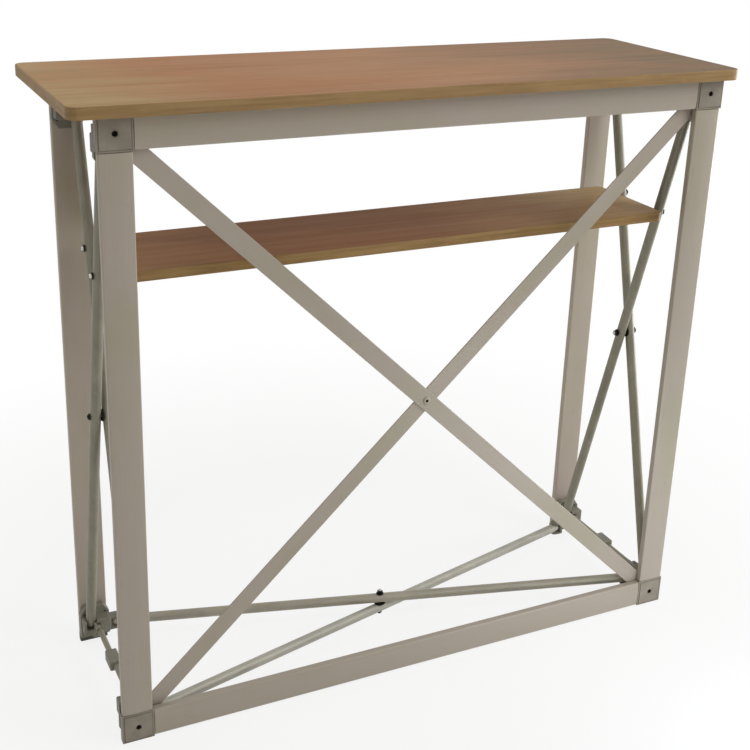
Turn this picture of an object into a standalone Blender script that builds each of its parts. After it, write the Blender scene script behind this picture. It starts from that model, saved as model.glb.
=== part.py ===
# Pop-up promotional counter: wood-grain top and shelf on a scissor frame with a braced front
# All sizes in metres, +Z up, front of the counter towards -Y
import math

import bmesh
import bpy
from mathutils import Matrix, Vector

# Driving dimensions
FRAME_W = 0.974
FRAME_H = 0.934
FRAME_D = 0.286
FRAME_X = 0.016
TOP_SIDE = 0.023
TOP_FRONT = 0.028
TOP_L = FRAME_W + 2 * TOP_SIDE
TOP_D = FRAME_D + 2 * TOP_FRONT
TOP_T = 0.016
SHELF_D = 0.175
SHELF_T = 0.015
SHELF_Z = 0.709
BAR_W = 0.045
BAR_T = 0.012
TUBE_D = 0.016
CROSS_W = 0.027

# Clearances and eased edges
GAP = 0.0003
EASE = 0.0006
PLUG_FIT = 0.0003
JOINT = 0.0009
OVERRUN = 0.004

# Sides of round pieces
ROUND = 24
SMALL = 12
TINY = 8
ARC = 4

# Corner blocks and bars of the front frame
BLOCK_SIDE = BAR_W + 0.003
BLOCK_HALF = BLOCK_SIDE / 2
BAR_WALL = 0.0015
BAR_CROWN = 0.0009
BAR_ROUND = 0.0018
BORE_ROUND = BAR_ROUND - BAR_WALL * 0.6
BLOCK_PAD = 0.0010
BLOCK_PAD_INSET = 0.0032
BLOCK_PAD_ROOT = 0.0020
GROOVE_W = 0.0009
GROOVE_H = 0.0009
GROOVE_LAP = 0.0002
BOSS_R = 0.0088
TONGUE_LEN = 0.026
SCREW_R = 0.0024
SCREW_HEAD_R = 0.0046
SCREW_HEAD_H = 0.0028
SCREW_RIM = SCREW_HEAD_H * 0.35
SCREW_SINK = 0.0006
SCREW_SOCKET_R = 0.0016
SCREW_SOCKET_H = 0.0018
SCREW_POINT = 0.0008
SCREW_SHORT = 0.004
DOME_H = 0.0022

# Flat cross bars behind the front frame
CROSS_T = 0.0025
CROSS_EASE = 0.0005
CROSS_EYE_R = SCREW_R + 0.0008
RIVET_R = 0.0030
RIVET_HEAD_R = 0.0062
RIVET_HEAD_H = 0.0016
RIVET_DIMPLE_R = 0.0020

# Scissor tubes with a round-ended plug in each end
TUBE_R = TUBE_D / 2
TUBE_WALL = 0.0012
WASHER_T = 0.0015
WASHER_R = 0.0095
PAIR_OFF = TUBE_R + WASHER_T / 2 + GAP
TIP_STEP = 0.0005
TIP_R = TUBE_R - TIP_STEP
TIP_SETBACK = 0.006
TIP_PLUG = 0.030

# Hubs: a moulded block with a cup for a side tube, and forks for a base tube and a lock arm
HUB_DROP = 0.018
HUB_WALL = 0.0042
HUB_BACK = 0.0020
HUB_EASE = 0.0012
HUB_STANDOFF = 0.0040
CUP_FIT = 0.0004
CUP_ROOM = 0.0006
CUP_OPEN = 0.0008
CUP_HALF = TUBE_R + CUP_FIT
HUB_HALF_X = PAIR_OFF + CUP_HALF + HUB_WALL
HUB_HALF_Y = CUP_HALF + HUB_BACK
HUB_HALF_Z = 0.0125
FLANGE_X = 0.0235
FLANGE_BITE = 0.0006
FLANGE_OUT = HUB_DROP + 0.0090
FLANGE_IN = HUB_HALF_Z + 0.0160
FLANGE_CUT_X = 0.0090
FLANGE_CUT_Z = 0.0130
FLANGE_EYE_X = FLANGE_X - 0.0070
FLANGE_EYE_Z = FLANGE_IN - 0.0130
FLANGE_EYE_R = 0.0020
FORK_SLOT = 0.0066
FORK_EAR = 0.0032
FORK_R = 0.0070
FORK_ROOT = 0.0020
EYE_R = 0.0064
EYE_T = FORK_SLOT - 2 * GAP
PIN_R = 0.0024
PIN_HEAD = 0.0008
PIN_BITE = 0.0030
CUP_PIN = 0.0045
BASE_DROP = 0.0100
BASE_PIN = HUB_HALF_X + FORK_ROOT + TIP_R + CUP_ROOM
LOCK_RISE = 0.0040
LOCK_CLEAR = HUB_HALF_Y + CUP_OPEN + 0.0010
LOCK_FACE = LOCK_CLEAR + FORK_ROOT
LOCK_PIN = LOCK_FACE + EYE_R + CUP_ROOM

# Bolts and nuts of the scissor pairs
BOLT_R = 0.0030
BOLT_HEAD_R = 0.0055
BOLT_HEAD_H = 0.0042
BASE_HEAD_H = 0.0026
BOLT_TAIL = 0.0020
NUT_R = 0.0058
NUT_H = 0.0048
SHELF_WASHER_R = WASHER_R * 0.85

# Lock arms between front and rear hubs
ROD_R = 0.0046
NECK_L = 0.012
NECK_LAP = 0.003
NECK_H = ROD_R * 0.95
HOOK_L = 0.034
HOOK_W = 0.018
HOOK_H = 0.018
HOOK_EASE = 0.0016
HOOK_SOCKET = 0.010
HOOK_ROOF = 0.0024
HOOK_CHEEK = 0.0006
TOE_L = 0.012
TOE_ROOM = 0.0012

# Panels
BAND_T = 0.0015
TOP_CORNER_R = 0.016
SHELF_CORNER_R = 0.009
PANEL_EASE = 0.0007
SHELF_END_GAP = 0.0025
NOTCH_W = 2 * BOLT_R + 0.0012
NOTCH_L = 0.020
BATTEN_W = 0.016
BATTEN_H = 0.022
BATTEN_ROOM = 0.004
BATTEN_LAP = 0.014

# Rear legs
SHOE_T = 0.0140
SHOE_PLUG = 0.014

# Positions worked out from the sizes above
FRONT_Y = -FRAME_D / 2
REAR_Y = FRAME_D / 2
BAR_BACK = FRONT_Y + BAR_T
CROSS_FRONT_Y = BAR_BACK + GAP
CROSS_REAR_Y = CROSS_FRONT_Y + CROSS_T + GAP
CROSS_END_Y = CROSS_REAR_Y + CROSS_T
HUB_X = FRAME_W / 2 - BLOCK_HALF
HUB_Y = -CROSS_END_Y - GAP - HUB_STANDOFF - HUB_HALF_Y
CORNER_LOW = BLOCK_HALF
CORNER_HIGH = FRAME_H - BLOCK_HALF
HUB_LOW = CORNER_LOW + HUB_DROP
HUB_HIGH = CORNER_HIGH - HUB_DROP
MID_Z = FRAME_H / 2
SHELF_LOW = SHELF_Z - SHELF_T
SHELF_MID = SHELF_Z - SHELF_T / 2
SHELF_HALF = HUB_X - PAIR_OFF - TUBE_R - SHELF_END_GAP
TOP_LOW = FRAME_H + GAP
ARM_PIN_Y = HUB_Y - LOCK_PIN
LOCK_Z = HUB_LOW + LOCK_RISE
BASE_Z = HUB_LOW - BASE_DROP
PLUG_HALF = BAR_W / 2 - BAR_WALL - 2 * PLUG_FIT
CROSS_RUN = 2 * HUB_X
CROSS_RISE = CORNER_HIGH - CORNER_LOW
CROSS_HALF = math.hypot(CROSS_RUN, CROSS_RISE) / 2
CROSS_TILT = math.atan2(CROSS_RISE, CROSS_RUN)

SIDES = ((-1, "left"), (1, "right"))
ENDS = ((-1, "front"), (1, "rear"))
LEVELS = ((-1, "bottom"), (1, "top"))
X_AXIS = Vector((1, 0, 0))
Y_AXIS = Vector((0, 1, 0))
Z_AXIS = Vector((0, 0, 1))

for old in list(bpy.data.objects):
    bpy.data.objects.remove(old, do_unlink=True)

materials = {}


def material(name, colour, metallic, roughness):
    mat = bpy.data.materials.new(name)
    mat.use_nodes = True
    shader = mat.node_tree.nodes["Principled BSDF"]
    shader.inputs["Base Color"].default_value = (*colour, 1.0)
    shader.inputs["Metallic"].default_value = metallic
    shader.inputs["Roughness"].default_value = roughness
    materials[name] = mat


material("bar_satin", (0.50, 0.46, 0.40), 0.3, 0.45)
material("block_plastic", (0.36, 0.34, 0.31), 0.0, 0.5)
material("hub_plastic", (0.24, 0.25, 0.23), 0.0, 0.5)
material("tube_silver", (0.60, 0.60, 0.57), 0.9, 0.3)
material("steel", (0.62, 0.61, 0.59), 1.0, 0.3)
material("washer_black", (0.02, 0.02, 0.02), 0.0, 0.55)
material("top_laminate", (0.42, 0.29, 0.18), 0.0, 0.4)
material("top_edge", (0.34, 0.24, 0.12), 0.0, 0.5)
material("shelf_laminate", (0.28, 0.17, 0.10), 0.0, 0.45)
material("shelf_edge", (0.34, 0.23, 0.11), 0.0, 0.5)
material("batten_wood", (0.40, 0.30, 0.18), 0.0, 0.6)


# Outlines and solids
def at(axis, u, v, w):
    """A point from two in-plane values and one value along the axis."""
    if axis == "x":
        return Vector((w, u, v))
    if axis == "y":
        return Vector((u, w, v))
    return Vector((u, v, w))


def prism(outline, low, high, axis):
    """A solid with a flat outline, extruded along one axis."""
    bm = bmesh.new()
    a = [bm.verts.new(at(axis, u, v, low)) for u, v in outline]
    b = [bm.verts.new(at(axis, u, v, high)) for u, v in outline]
    n = len(outline)
    bm.faces.new(a)
    bm.faces.new(list(reversed(b)))
    for i in range(n):
        j = (i + 1) % n
        bm.faces.new((a[i], a[j], b[j], b[i]))
    bmesh.ops.recalc_face_normals(bm, faces=bm.faces)
    return bm


def ring(sections, axis):
    """A hollow piece: outlines at places along the axis, joined in turn and back to the first."""
    bm = bmesh.new()
    loops = []
    for outline, w in sections:
        loops.append([bm.verts.new(at(axis, u, v, w)) for u, v in outline])
    n = len(loops[0])
    for k, p in enumerate(loops):
        q = loops[(k + 1) % len(loops)]
        for i in range(n):
            j = (i + 1) % n
            bm.faces.new((p[i], p[j], q[j], q[i]))
    bmesh.ops.recalc_face_normals(bm, faces=bm.faces)
    return bm


def sleeve(outer, inner, low, high, axis):
    """A hollow section, open at both ends."""
    return ring([(outer, low), (outer, high), (inner, high), (inner, low)], axis)


def arc(centre_u, centre_v, radius, start, sweep, count):
    """Points along part of a circle, both ends kept."""
    points = []
    for i in range(count + 1):
        turn = start + sweep * i / count
        points.append((centre_u + radius * math.cos(turn), centre_v + radius * math.sin(turn)))
    return points


def circle(radius, count):
    return arc(0.0, 0.0, radius, 0.0, 2 * math.pi, count)[:-1]


def rounded(width, height, radius, count=5):
    """A rectangle with round corners, about its own middle."""
    points = []
    for quarter, (su, sv) in enumerate(((1, 1), (-1, 1), (-1, -1), (1, -1))):
        cu = su * (width / 2 - radius)
        cv = sv * (height / 2 - radius)
        points += arc(cu, cv, radius, quarter * math.pi / 2, math.pi / 2, count)
    return points


def shifted(outline, u0, v0):
    return [(u + u0, v + v0) for u, v in outline]


def bar_section(width, thick, crown, radius, steps=6):
    """Section of a flat bar in (across, depth): a slightly domed face, a flat back and round corners."""
    half = width / 2 - radius
    quarter = math.pi / 2
    points = []
    for i in range(steps + 1):
        u = half * (2 * i / steps - 1)
        points.append((u, crown * (u / half) ** 2))
    points += arc(half, crown + radius, radius, -quarter, quarter, 2)[1:]
    points += arc(half, thick - radius, radius, 0.0, quarter, 2)
    points += arc(-half, thick - radius, radius, quarter, quarter, 2)
    points += arc(-half, crown + radius, radius, 2 * quarter, quarter, 2)[:-1]
    return points


def moved(bm, matrix):
    bmesh.ops.transform(bm, matrix=matrix, verts=bm.verts)
    return bm


def placed(bm, start, axis):
    """Turns a solid built along +Z to run from a point along an axis."""
    turn = Z_AXIS.rotation_difference(Vector(axis)).to_matrix().to_4x4()
    return moved(bm, Matrix.Translation(Vector(start)) @ turn)


def rod(p0, p1, radius, count):
    """A solid cylinder between two points."""
    run = Vector(p1) - Vector(p0)
    return placed(prism(circle(radius, count), 0.0, run.length, "z"), p0, run)


def turned(profile, start, axis, count):
    """A solid of revolution from (distance along axis, radius) pairs, closed by a zero radius at each end."""
    bm = bmesh.new()
    rings = []
    for along, radius in profile:
        if radius <= 0:
            rings.append([bm.verts.new((0, 0, along))])
        else:
            rings.append([bm.verts.new((u, v, along)) for u, v in circle(radius, count)])
    for a, b in zip(rings, rings[1:]):
        for i in range(count):
            j = (i + 1) % count
            if len(a) == 1:
                bm.faces.new((a[0], b[i], b[j]))
            elif len(b) == 1:
                bm.faces.new((a[i], a[j], b[0]))
            else:
                bm.faces.new((a[i], a[j], b[j], b[i]))
    bmesh.ops.recalc_face_normals(bm, faces=bm.faces)
    return placed(bm, start, axis)


def block(corner, opposite, ease=0.0):
    """A box between two corners, with its edges eased."""
    low = Vector([min(a, b) for a, b in zip(corner, opposite)])
    high = Vector([max(a, b) for a, b in zip(corner, opposite)])
    bm = bmesh.new()
    bmesh.ops.create_cube(bm, size=1.0)
    for vert in bm.verts:
        vert.co = (low + high) / 2 + vert.co * (high - low)
    if ease > 0:
        bmesh.ops.bevel(bm, geom=list(bm.edges), offset=ease, segments=1, profile=0.5, affect="EDGES")
    bmesh.ops.recalc_face_normals(bm, faces=bm.faces)
    return bm


def to_mesh(name, bm):
    mesh = bpy.data.meshes.new(name)
    bm.to_mesh(mesh)
    bm.free()
    return mesh


def boolean(obj, tools, operation):
    """Joins or cuts solids and keeps the result as the object's own mesh."""
    helpers = []
    for tool in tools:
        helper = bpy.data.objects.new("helper", to_mesh("helper", tool))
        bpy.context.collection.objects.link(helper)
        helpers.append(helper)
        step = obj.modifiers.new("step", "BOOLEAN")
        step.operation = operation
        step.object = helper
        step.solver = "EXACT"
    graph = bpy.context.evaluated_depsgraph_get()
    result = bpy.data.meshes.new_from_object(obj.evaluated_get(graph))
    obj.modifiers.clear()
    spent = obj.data
    obj.data = result
    bpy.data.meshes.remove(spent)
    for helper in helpers:
        bpy.data.objects.remove(helper, do_unlink=True)


def shade(obj, limit=math.radians(32)):
    """Round faces shade smooth and true edges stay sharp."""
    bm = bmesh.new()
    bm.from_mesh(obj.data)
    for face in bm.faces:
        face.smooth = True
        face.material_index = 0
    for edge in bm.edges:
        edge.smooth = len(edge.link_faces) == 2 and edge.calc_face_angle(0.0) < limit
    bm.to_mesh(obj.data)
    bm.free()


def make(name, solid, slot, joins=(), cuts=(), origin=(0.0, 0.0, 0.0), pins=()):
    """One named piece: a solid, what is joined and what is cut, its moving point, and pins added last."""
    obj = bpy.data.objects.new(name, to_mesh(name, solid))
    bpy.context.collection.objects.link(obj)
    if joins:
        boolean(obj, joins, "UNION")
    if cuts:
        boolean(obj, cuts, "DIFFERENCE")
    if pins:
        boolean(obj, pins, "UNION")
    obj.data.name = name
    obj.data.materials.clear()
    obj.data.materials.append(materials[slot])
    shade(obj)
    obj.data.transform(Matrix.Translation(-Vector(origin)))
    obj.location = origin


def hub_centre(sx, sy, sz):
    return Vector((FRAME_X + sx * HUB_X, sy * HUB_Y, HUB_LOW if sz < 0 else HUB_HIGH))


def corner_z(sz):
    return CORNER_LOW if sz < 0 else CORNER_HIGH


# Table top and shelf: a core board with a band round its edge
def panel(name, length, depth, low, thick, corner, centre_x, cutters):
    high = low + thick

    def outline(inset):
        shape = rounded(length - 2 * inset, depth - 2 * inset, corner - inset)
        return shifted(shape, centre_x, 0.0)

    core = prism(outline(BAND_T + GAP), low, high, "z")
    band = ring([(outline(PANEL_EASE), low), (outline(0.0), low + PANEL_EASE),
                 (outline(0.0), high - PANEL_EASE), (outline(PANEL_EASE), high),
                 (outline(BAND_T), high), (outline(BAND_T), low)], "z")
    base = (centre_x, 0.0, low)
    board = name.split("_")[-1]
    make(name + "_panel", core, board + "_laminate", cuts=cutters(), origin=base)
    make(name + "_edge_band", band, board + "_edge", cuts=cutters(), origin=base)


panel("table_top", TOP_L, TOP_D, TOP_LOW, TOP_T, TOP_CORNER_R, 0.0, list)

# Cleats under the table top that keep it between the hubs
for sx, side in SIDES:
    outside = FRAME_X + sx * (HUB_X - HUB_HALF_X - BATTEN_ROOM)
    inside = outside - sx * BATTEN_W
    reach = HUB_Y + BATTEN_LAP
    under = TOP_LOW - GAP
    batten = block((outside, -reach, under - BATTEN_H), (inside, reach, under), 2 * EASE)
    make("top_batten_" + side, batten, "batten_wood", origin=(0.0, 0.0, TOP_LOW))


# The shelf rests in slots on four bolts through the side tubes
def side_tube_ends(sx, kind):
    """Pin points of one side tube: kind +1 runs front-bottom to rear-top, kind -1 the other way."""
    low = hub_centre(sx, -kind, -1) + Z_AXIS * CUP_PIN
    high = hub_centre(sx, kind, 1) - Z_AXIS * CUP_PIN
    return low, high


def side_tube_at(sx, kind, z):
    low, high = side_tube_ends(sx, kind)
    spot = low + (high - low) * ((z - low.z) / (high.z - low.z))
    return spot + X_AXIS * (kind * PAIR_OFF)


def shelf_notches():
    tools = []
    half = NOTCH_W / 2
    roof = SHELF_MID + BOLT_R + GAP
    for sx, side in SIDES:
        inside = FRAME_X + sx * (SHELF_HALF - NOTCH_L)
        outside = FRAME_X + sx * (SHELF_HALF + OVERRUN)
        for kind in (1, -1):
            y = side_tube_at(sx, kind, SHELF_MID).y
            outline = [(y - half, SHELF_LOW - OVERRUN), (y + half, SHELF_LOW - OVERRUN)]
            outline += [(y + half, roof - half), (y + half / 2, roof)]
            outline += [(y - half / 2, roof), (y - half, roof - half)]
            tools.append(prism(outline, min(inside, outside), max(inside, outside), "x"))
    return tools


panel("shelf", 2 * SHELF_HALF, SHELF_D, SHELF_LOW, SHELF_T, SHELF_CORNER_R, FRAME_X, shelf_notches)

# Front frame: domed flat bars between corner blocks
section = bar_section(BAR_W, BAR_T, BAR_CROWN, BAR_ROUND)
bore = bar_section(BAR_W - 2 * BAR_WALL, BAR_T - 2 * BAR_WALL, BAR_CROWN, BORE_ROUND)
bore = shifted(bore, 0.0, BAR_WALL)
for sx, side in SIDES:
    x = FRAME_X + sx * HUB_X
    low = BLOCK_SIDE + JOINT
    high = FRAME_H - BLOCK_SIDE - JOINT
    upright = sleeve(shifted(section, x, FRONT_Y), shifted(bore, x, FRONT_Y), low, high, "z")
    make("front_upright_" + side, upright, "bar_satin")

for sz, level in LEVELS:
    z = corner_z(sz)
    half = HUB_X - BLOCK_HALF - JOINT
    outer = [(FRONT_Y + v, z + u) for u, v in section]
    inner = [(FRONT_Y + v, z + u) for u, v in bore]
    make("front_rail_" + level, sleeve(outer, inner, FRAME_X - half, FRAME_X + half, "x"), "bar_satin")


# Corner blocks: a stepped face, a tongue into each bar and a sunk hole for the screw
def square(centre, half, front, back, ease):
    low = (centre.x - half, front, centre.z - half)
    return block(low, (centre.x + half, back, centre.z + half), ease)


def frame_line(centre, half):
    low = centre.z - half
    high = centre.z + half
    return [(centre.x - half, low), (centre.x + half, low), (centre.x + half, high), (centre.x - half, high)]


plug_front = FRONT_Y + BAR_WALL + BAR_CROWN + PLUG_FIT
plug_back = BAR_BACK - BAR_WALL - PLUG_FIT
block_front = FRONT_Y - BLOCK_PAD
for sx, side in SIDES:
    for sz, level in LEVELS:
        c = hub_centre(sx, -1, sz)
        c.z = corner_z(sz)
        reach = BLOCK_HALF + TONGUE_LEN
        pad = BLOCK_HALF - BLOCK_PAD_INSET
        joins = [square(c, pad, block_front, FRONT_Y + BLOCK_PAD_ROOT, EASE)]
        tongue_up = (c.x + PLUG_HALF, plug_back, c.z - sz * reach)
        joins.append(block((c.x - PLUG_HALF, plug_front, c.z), tongue_up))
        tongue_in = (c.x - sx * reach, plug_back, c.z + PLUG_HALF)
        joins.append(block((c.x, plug_front, c.z - PLUG_HALF), tongue_in))
        if sx * sz > 0:
            joins.append(rod((c.x, BAR_BACK - EASE, c.z), (c.x, CROSS_REAR_Y - GAP, c.z), BOSS_R, SMALL))
        head = SCREW_HEAD_R + GAP
        hole = SCREW_R + GAP
        sink = turned([(-OVERRUN, 0.0), (-OVERRUN, head), (SCREW_SINK + SCREW_RIM, head),
                       (2 * SCREW_SINK + SCREW_HEAD_H, hole), (BAR_T + 2 * OVERRUN, hole),
                       (BAR_T + 2 * OVERRUN, 0.0)], (c.x, block_front, c.z), Y_AXIS, SMALL)
        groove = sleeve(frame_line(c, pad + GROOVE_W), frame_line(c, pad - GROOVE_LAP), FRONT_Y - OVERRUN,
                        FRONT_Y + GROOVE_H, "y")
        body = square(c, BLOCK_HALF, FRONT_Y, BAR_BACK, EASE)
        make("corner_block_" + level + "_" + side, body, "block_plastic", joins, [sink, groove])
        seat = block_front + SCREW_SINK
        tail = c.y - SCREW_SHORT - seat
        profile = [(SCREW_SOCKET_H, 0.0), (SCREW_SOCKET_H, SCREW_SOCKET_R), (0.0, SCREW_SOCKET_R),
                   (0.0, SCREW_HEAD_R), (SCREW_RIM, SCREW_HEAD_R), (SCREW_HEAD_H, SCREW_R),
                   (tail - SCREW_POINT, SCREW_R), (tail, SCREW_R - SCREW_POINT), (tail, 0.0)]
        screw = turned(profile, (c.x, seat, c.z), Y_AXIS, SMALL)
        make("corner_screw_" + level + "_" + side, screw, "steel")


# Cross bars: two flat bars from corner to corner, riveted where they cross
def cross_bar(name, tilt, front):
    end = CROSS_W / 2

    def outline(inset):
        radius = end - inset
        right = arc(CROSS_HALF, 0.0, radius, -math.pi / 2, math.pi, 2 * ARC)
        return right + arc(-CROSS_HALF, 0.0, radius, math.pi / 2, math.pi, 2 * ARC)

    back = front + CROSS_T
    middle = Vector((FRAME_X, 0.0, MID_Z))
    bar = prism(outline(0.0), front, back, "y")
    rims = [edge for edge in bar.edges if abs(edge.verts[0].co.y - edge.verts[1].co.y) < GAP]
    bmesh.ops.bevel(bar, geom=rims, offset=CROSS_EASE, segments=1, profile=0.5, affect="EDGES")
    moved(bar, Matrix.Translation(middle) @ Matrix.Rotation(-tilt, 4, "Y"))
    direction = Vector((math.cos(tilt), 0.0, math.sin(tilt)))
    cuts = []
    for along, radius in ((-CROSS_HALF, CROSS_EYE_R), (0.0, RIVET_R + GAP), (CROSS_HALF, CROSS_EYE_R)):
        spot = middle + direction * along
        start = spot + Y_AXIS * (front - OVERRUN)
        cuts.append(rod(start, spot + Y_AXIS * (back + OVERRUN), radius, SMALL))
    make(name, bar, "bar_satin", cuts=cuts)


cross_bar("cross_bar_front", -CROSS_TILT, CROSS_FRONT_Y)
cross_bar("cross_bar_rear", CROSS_TILT, CROSS_REAR_Y)

grip = CROSS_END_Y - CROSS_FRONT_Y + 2 * GAP
crown = RIVET_HEAD_R * 0.72
shoulder = RIVET_HEAD_R * 0.95
rivet = turned([(-RIVET_HEAD_H / 2, 0.0), (-RIVET_HEAD_H / 2, RIVET_DIMPLE_R),
                (-RIVET_HEAD_H, RIVET_DIMPLE_R), (-RIVET_HEAD_H, crown),
                (-RIVET_HEAD_H / 2, shoulder), (0.0, RIVET_HEAD_R), (0.0, RIVET_R),
                (grip, RIVET_R), (grip, RIVET_HEAD_R), (grip + RIVET_HEAD_H / 2, shoulder),
                (grip + RIVET_HEAD_H, crown), (grip + RIVET_HEAD_H, 0.0)],
               (FRAME_X, CROSS_FRONT_Y - GAP, MID_Z), Y_AXIS, SMALL)
make("cross_rivet", rivet, "steel")


# Hubs: a cup for the side tube in each; the lower ones also hold a base tube and a lock arm in forks
def ear(centre, way, across, offset, root, reach, radius):
    """One ear of a fork: way points out of the hub, across is the pin's direction."""
    outline = [(root, radius), (root, -radius)] + arc(reach, 0.0, radius, -math.pi / 2, math.pi, 2 * ARC)
    bm = prism(outline, offset - FORK_EAR / 2, offset + FORK_EAR / 2, "z")
    turn = Matrix((way, across.cross(way), across)).transposed().to_4x4()
    return moved(bm, Matrix.Translation(centre) @ turn)


def fork(centre, way, across, slot_half, root, reach, radius):
    """Two ears and the pin through them."""
    middle = slot_half + FORK_EAR / 2
    ears = [ear(centre, way, across, s * middle, root, reach, radius) for s in (-1, 1)]
    run = across * (slot_half + FORK_EAR + PIN_HEAD)
    pin = centre + way * reach
    return ears, rod(pin - run, pin + run, PIN_R, TINY)


def flange(centre, sz, near, face):
    """Plate against the bar behind a hub, with its two free corners cut off."""
    outer = sz * FLANGE_OUT
    inner = -sz * FLANGE_IN
    knee = inner + sz * FLANGE_CUT_Z
    short = FLANGE_X - FLANGE_CUT_X
    line = [(-FLANGE_X, outer), (FLANGE_X, outer), (FLANGE_X, knee), (short, inner), (-short, inner),
            (-FLANGE_X, knee)]
    if sz > 0:
        line.reverse()
    plate = prism(shifted(line, centre.x, centre.z), min(near, face), max(near, face), "y")
    rims = [edge for edge in plate.edges if abs(edge.verts[0].co.y - edge.verts[1].co.y) < GAP]
    bmesh.ops.bevel(plate, geom=rims, offset=EASE, segments=1, profile=0.5, affect="EDGES")
    return plate


hub_half = Vector((HUB_HALF_X, HUB_HALF_Y, HUB_HALF_Z))
root_x = HUB_HALF_X - 2 * HUB_EASE
root_y = HUB_HALF_Y - 2 * HUB_EASE
fork_half = Vector((0.0, TUBE_R, CUP_HALF + FORK_EAR))
lock_half = FORK_SLOT / 2 + FORK_EAR
for sx, side in SIDES:
    for sy, end in ENDS:
        for sz, level in LEVELS:
            c = hub_centre(sx, sy, sz)
            if sy > 0:
                face = REAR_Y - BAR_T - GAP
            elif sx * sz < 0:
                face = CROSS_FRONT_Y + CROSS_T + GAP
            else:
                face = CROSS_END_Y + GAP
            joins = [flange(c, sz, c.y + sy * (root_y - FLANGE_BITE), face)]
            joins.append(rod((c.x, c.y, corner_z(sz)), (c.x, face - sy * EASE, corner_z(sz)), BOSS_R, SMALL))
            turn = sy * sz
            cup = c + X_AXIS * (turn * PAIR_OFF)
            bottom = c.z - sz * (CUP_PIN - TIP_R - CUP_ROOM)
            mouth = (cup.x + CUP_HALF, c.y - sy * (HUB_HALF_Y + CUP_OPEN), c.z - sz * (HUB_HALF_Z + OVERRUN))
            cuts = [block((cup.x - CUP_HALF, c.y + sy * CUP_HALF, bottom), mouth)]
            hole = (c.x, c.y - sy * SCREW_SHORT, corner_z(sz))
            cuts.append(rod(hole, (c.x, face + sy * OVERRUN, corner_z(sz)), SCREW_R + GAP, TINY))
            for along in (-FLANGE_EYE_X, FLANGE_EYE_X):
                eye = Vector((c.x + along, c.y, c.z - sz * FLANGE_EYE_Z))
                cuts.append(rod(eye, eye + Y_AXIS * (face + sy * OVERRUN - c.y), FLANGE_EYE_R, TINY))
            spot = cup - Z_AXIS * (sz * CUP_PIN)
            inner = spot - X_AXIS * (turn * (CUP_HALF + PIN_BITE))
            outer = spot + X_AXIS * (turn * (CUP_HALF + HUB_WALL + PIN_HEAD))
            pins = [rod(inner, outer, PIN_R, TINY)]
            if sz < 0:
                way = X_AXIS * -sx
                base = Vector((c.x, c.y, BASE_Z - sx * sy * PAIR_OFF))
                root = base + way * root_x - fork_half
                root_end = base + way * (HUB_HALF_X + FORK_ROOT) + fork_half
                root_end.z = max(root_end.z, c.z)
                joins.append(block(root, root_end))
                ears, pin = fork(base, way, Z_AXIS, CUP_HALF, root_x, BASE_PIN, TUBE_R)
                joins += ears
                pins.append(pin)
                lock = Vector((c.x, c.y, LOCK_Z))
                near = lock + Vector((-lock_half, -sy * LOCK_CLEAR, -FORK_R))
                joins.append(block(near, lock + Vector((lock_half, -sy * LOCK_FACE, FORK_R))))
                solid = lock + Vector((-turn * lock_half, -sy * LOCK_FACE, FORK_R))
                joins.append(block(lock + Vector((0.0, -sy * root_y, -FORK_R)), solid))
                ears, pin = fork(lock, Y_AXIS * -sy, X_AXIS, FORK_SLOT / 2, LOCK_CLEAR, LOCK_PIN, FORK_R)
                joins += ears
                pins.append(pin)
            core = block(c - hub_half, c + hub_half, HUB_EASE)
            make("hub_" + end + "_" + level + "_" + side, core, "hub_plastic", joins, cuts, pins=pins)


# Scissor tubes: hollow, with a round-ended plug on a pin at each end
def scissor_tube(name, p0, p1, offset, drills):
    """A tube between two pins, set off sideways from the middle of its hubs."""
    way = (p1 - p0).normalized()
    side = offset.normalized()
    a = p0 + offset
    b = p1 + offset
    span = (b - a).length
    ends = []
    for i in range(ARC + 1):
        turn = math.pi / 2 * i / ARC
        ends.append((-TIP_R * math.cos(turn), TIP_R * math.sin(turn)))
    ends += [(TIP_SETBACK, TIP_R), (TIP_SETBACK, TUBE_R)]
    profile = ends + [(span - along, radius) for along, radius in reversed(ends)]
    frame = Matrix((side, way.cross(side), way)).transposed().to_4x4()
    body = moved(turned(profile, (0, 0, 0), Z_AXIS, ROUND), Matrix.Translation(a) @ frame)
    plug = way * (TIP_SETBACK + TIP_PLUG)
    cuts = [rod(a + plug, b - plug, TUBE_R - TUBE_WALL, ROUND)] + drills
    for pin in (a, b):
        cuts.append(rod(pin - side * TUBE_D, pin + side * TUBE_D, PIN_R + GAP, TINY))
    make(name, body, "tube_silver", cuts=cuts)


def drill(centre, axis):
    run = axis * (PAIR_OFF + TUBE_D)
    return rod(centre - run, centre + run, BOLT_R + GAP, TINY)


def pivot(name, centre, axis, head):
    """Bolt with nut and outer washers through a crossed pair of tubes, and the washer between the tubes."""
    hole = circle(BOLT_R + GAP, SMALL)
    washer = sleeve(circle(WASHER_R, SMALL), hole, -WASHER_T / 2, WASHER_T / 2, "z")
    make(name + "_washer", placed(washer, centre, axis), "washer_black")
    inner = PAIR_OFF + TUBE_R + GAP
    seat = inner + WASHER_T
    end = seat + NUT_H + BOLT_TAIL
    profile = [(-seat - head, 0.0), (-seat - head, BOLT_HEAD_R * 0.5), (-seat - head / 2, BOLT_HEAD_R * 0.9),
               (-seat, BOLT_HEAD_R), (-seat, WASHER_R), (-inner, WASHER_R), (-inner, BOLT_R), (inner, BOLT_R),
               (inner, WASHER_R), (seat, WASHER_R), (seat, BOLT_R), (end, BOLT_R), (end, 0.0)]
    nut = prism(circle(NUT_R, 6), seat - WASHER_T / 2, seat + NUT_H, "z")
    make(name + "_bolt", turned(profile, centre, axis, SMALL), "steel", [placed(nut, centre, axis)])


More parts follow.
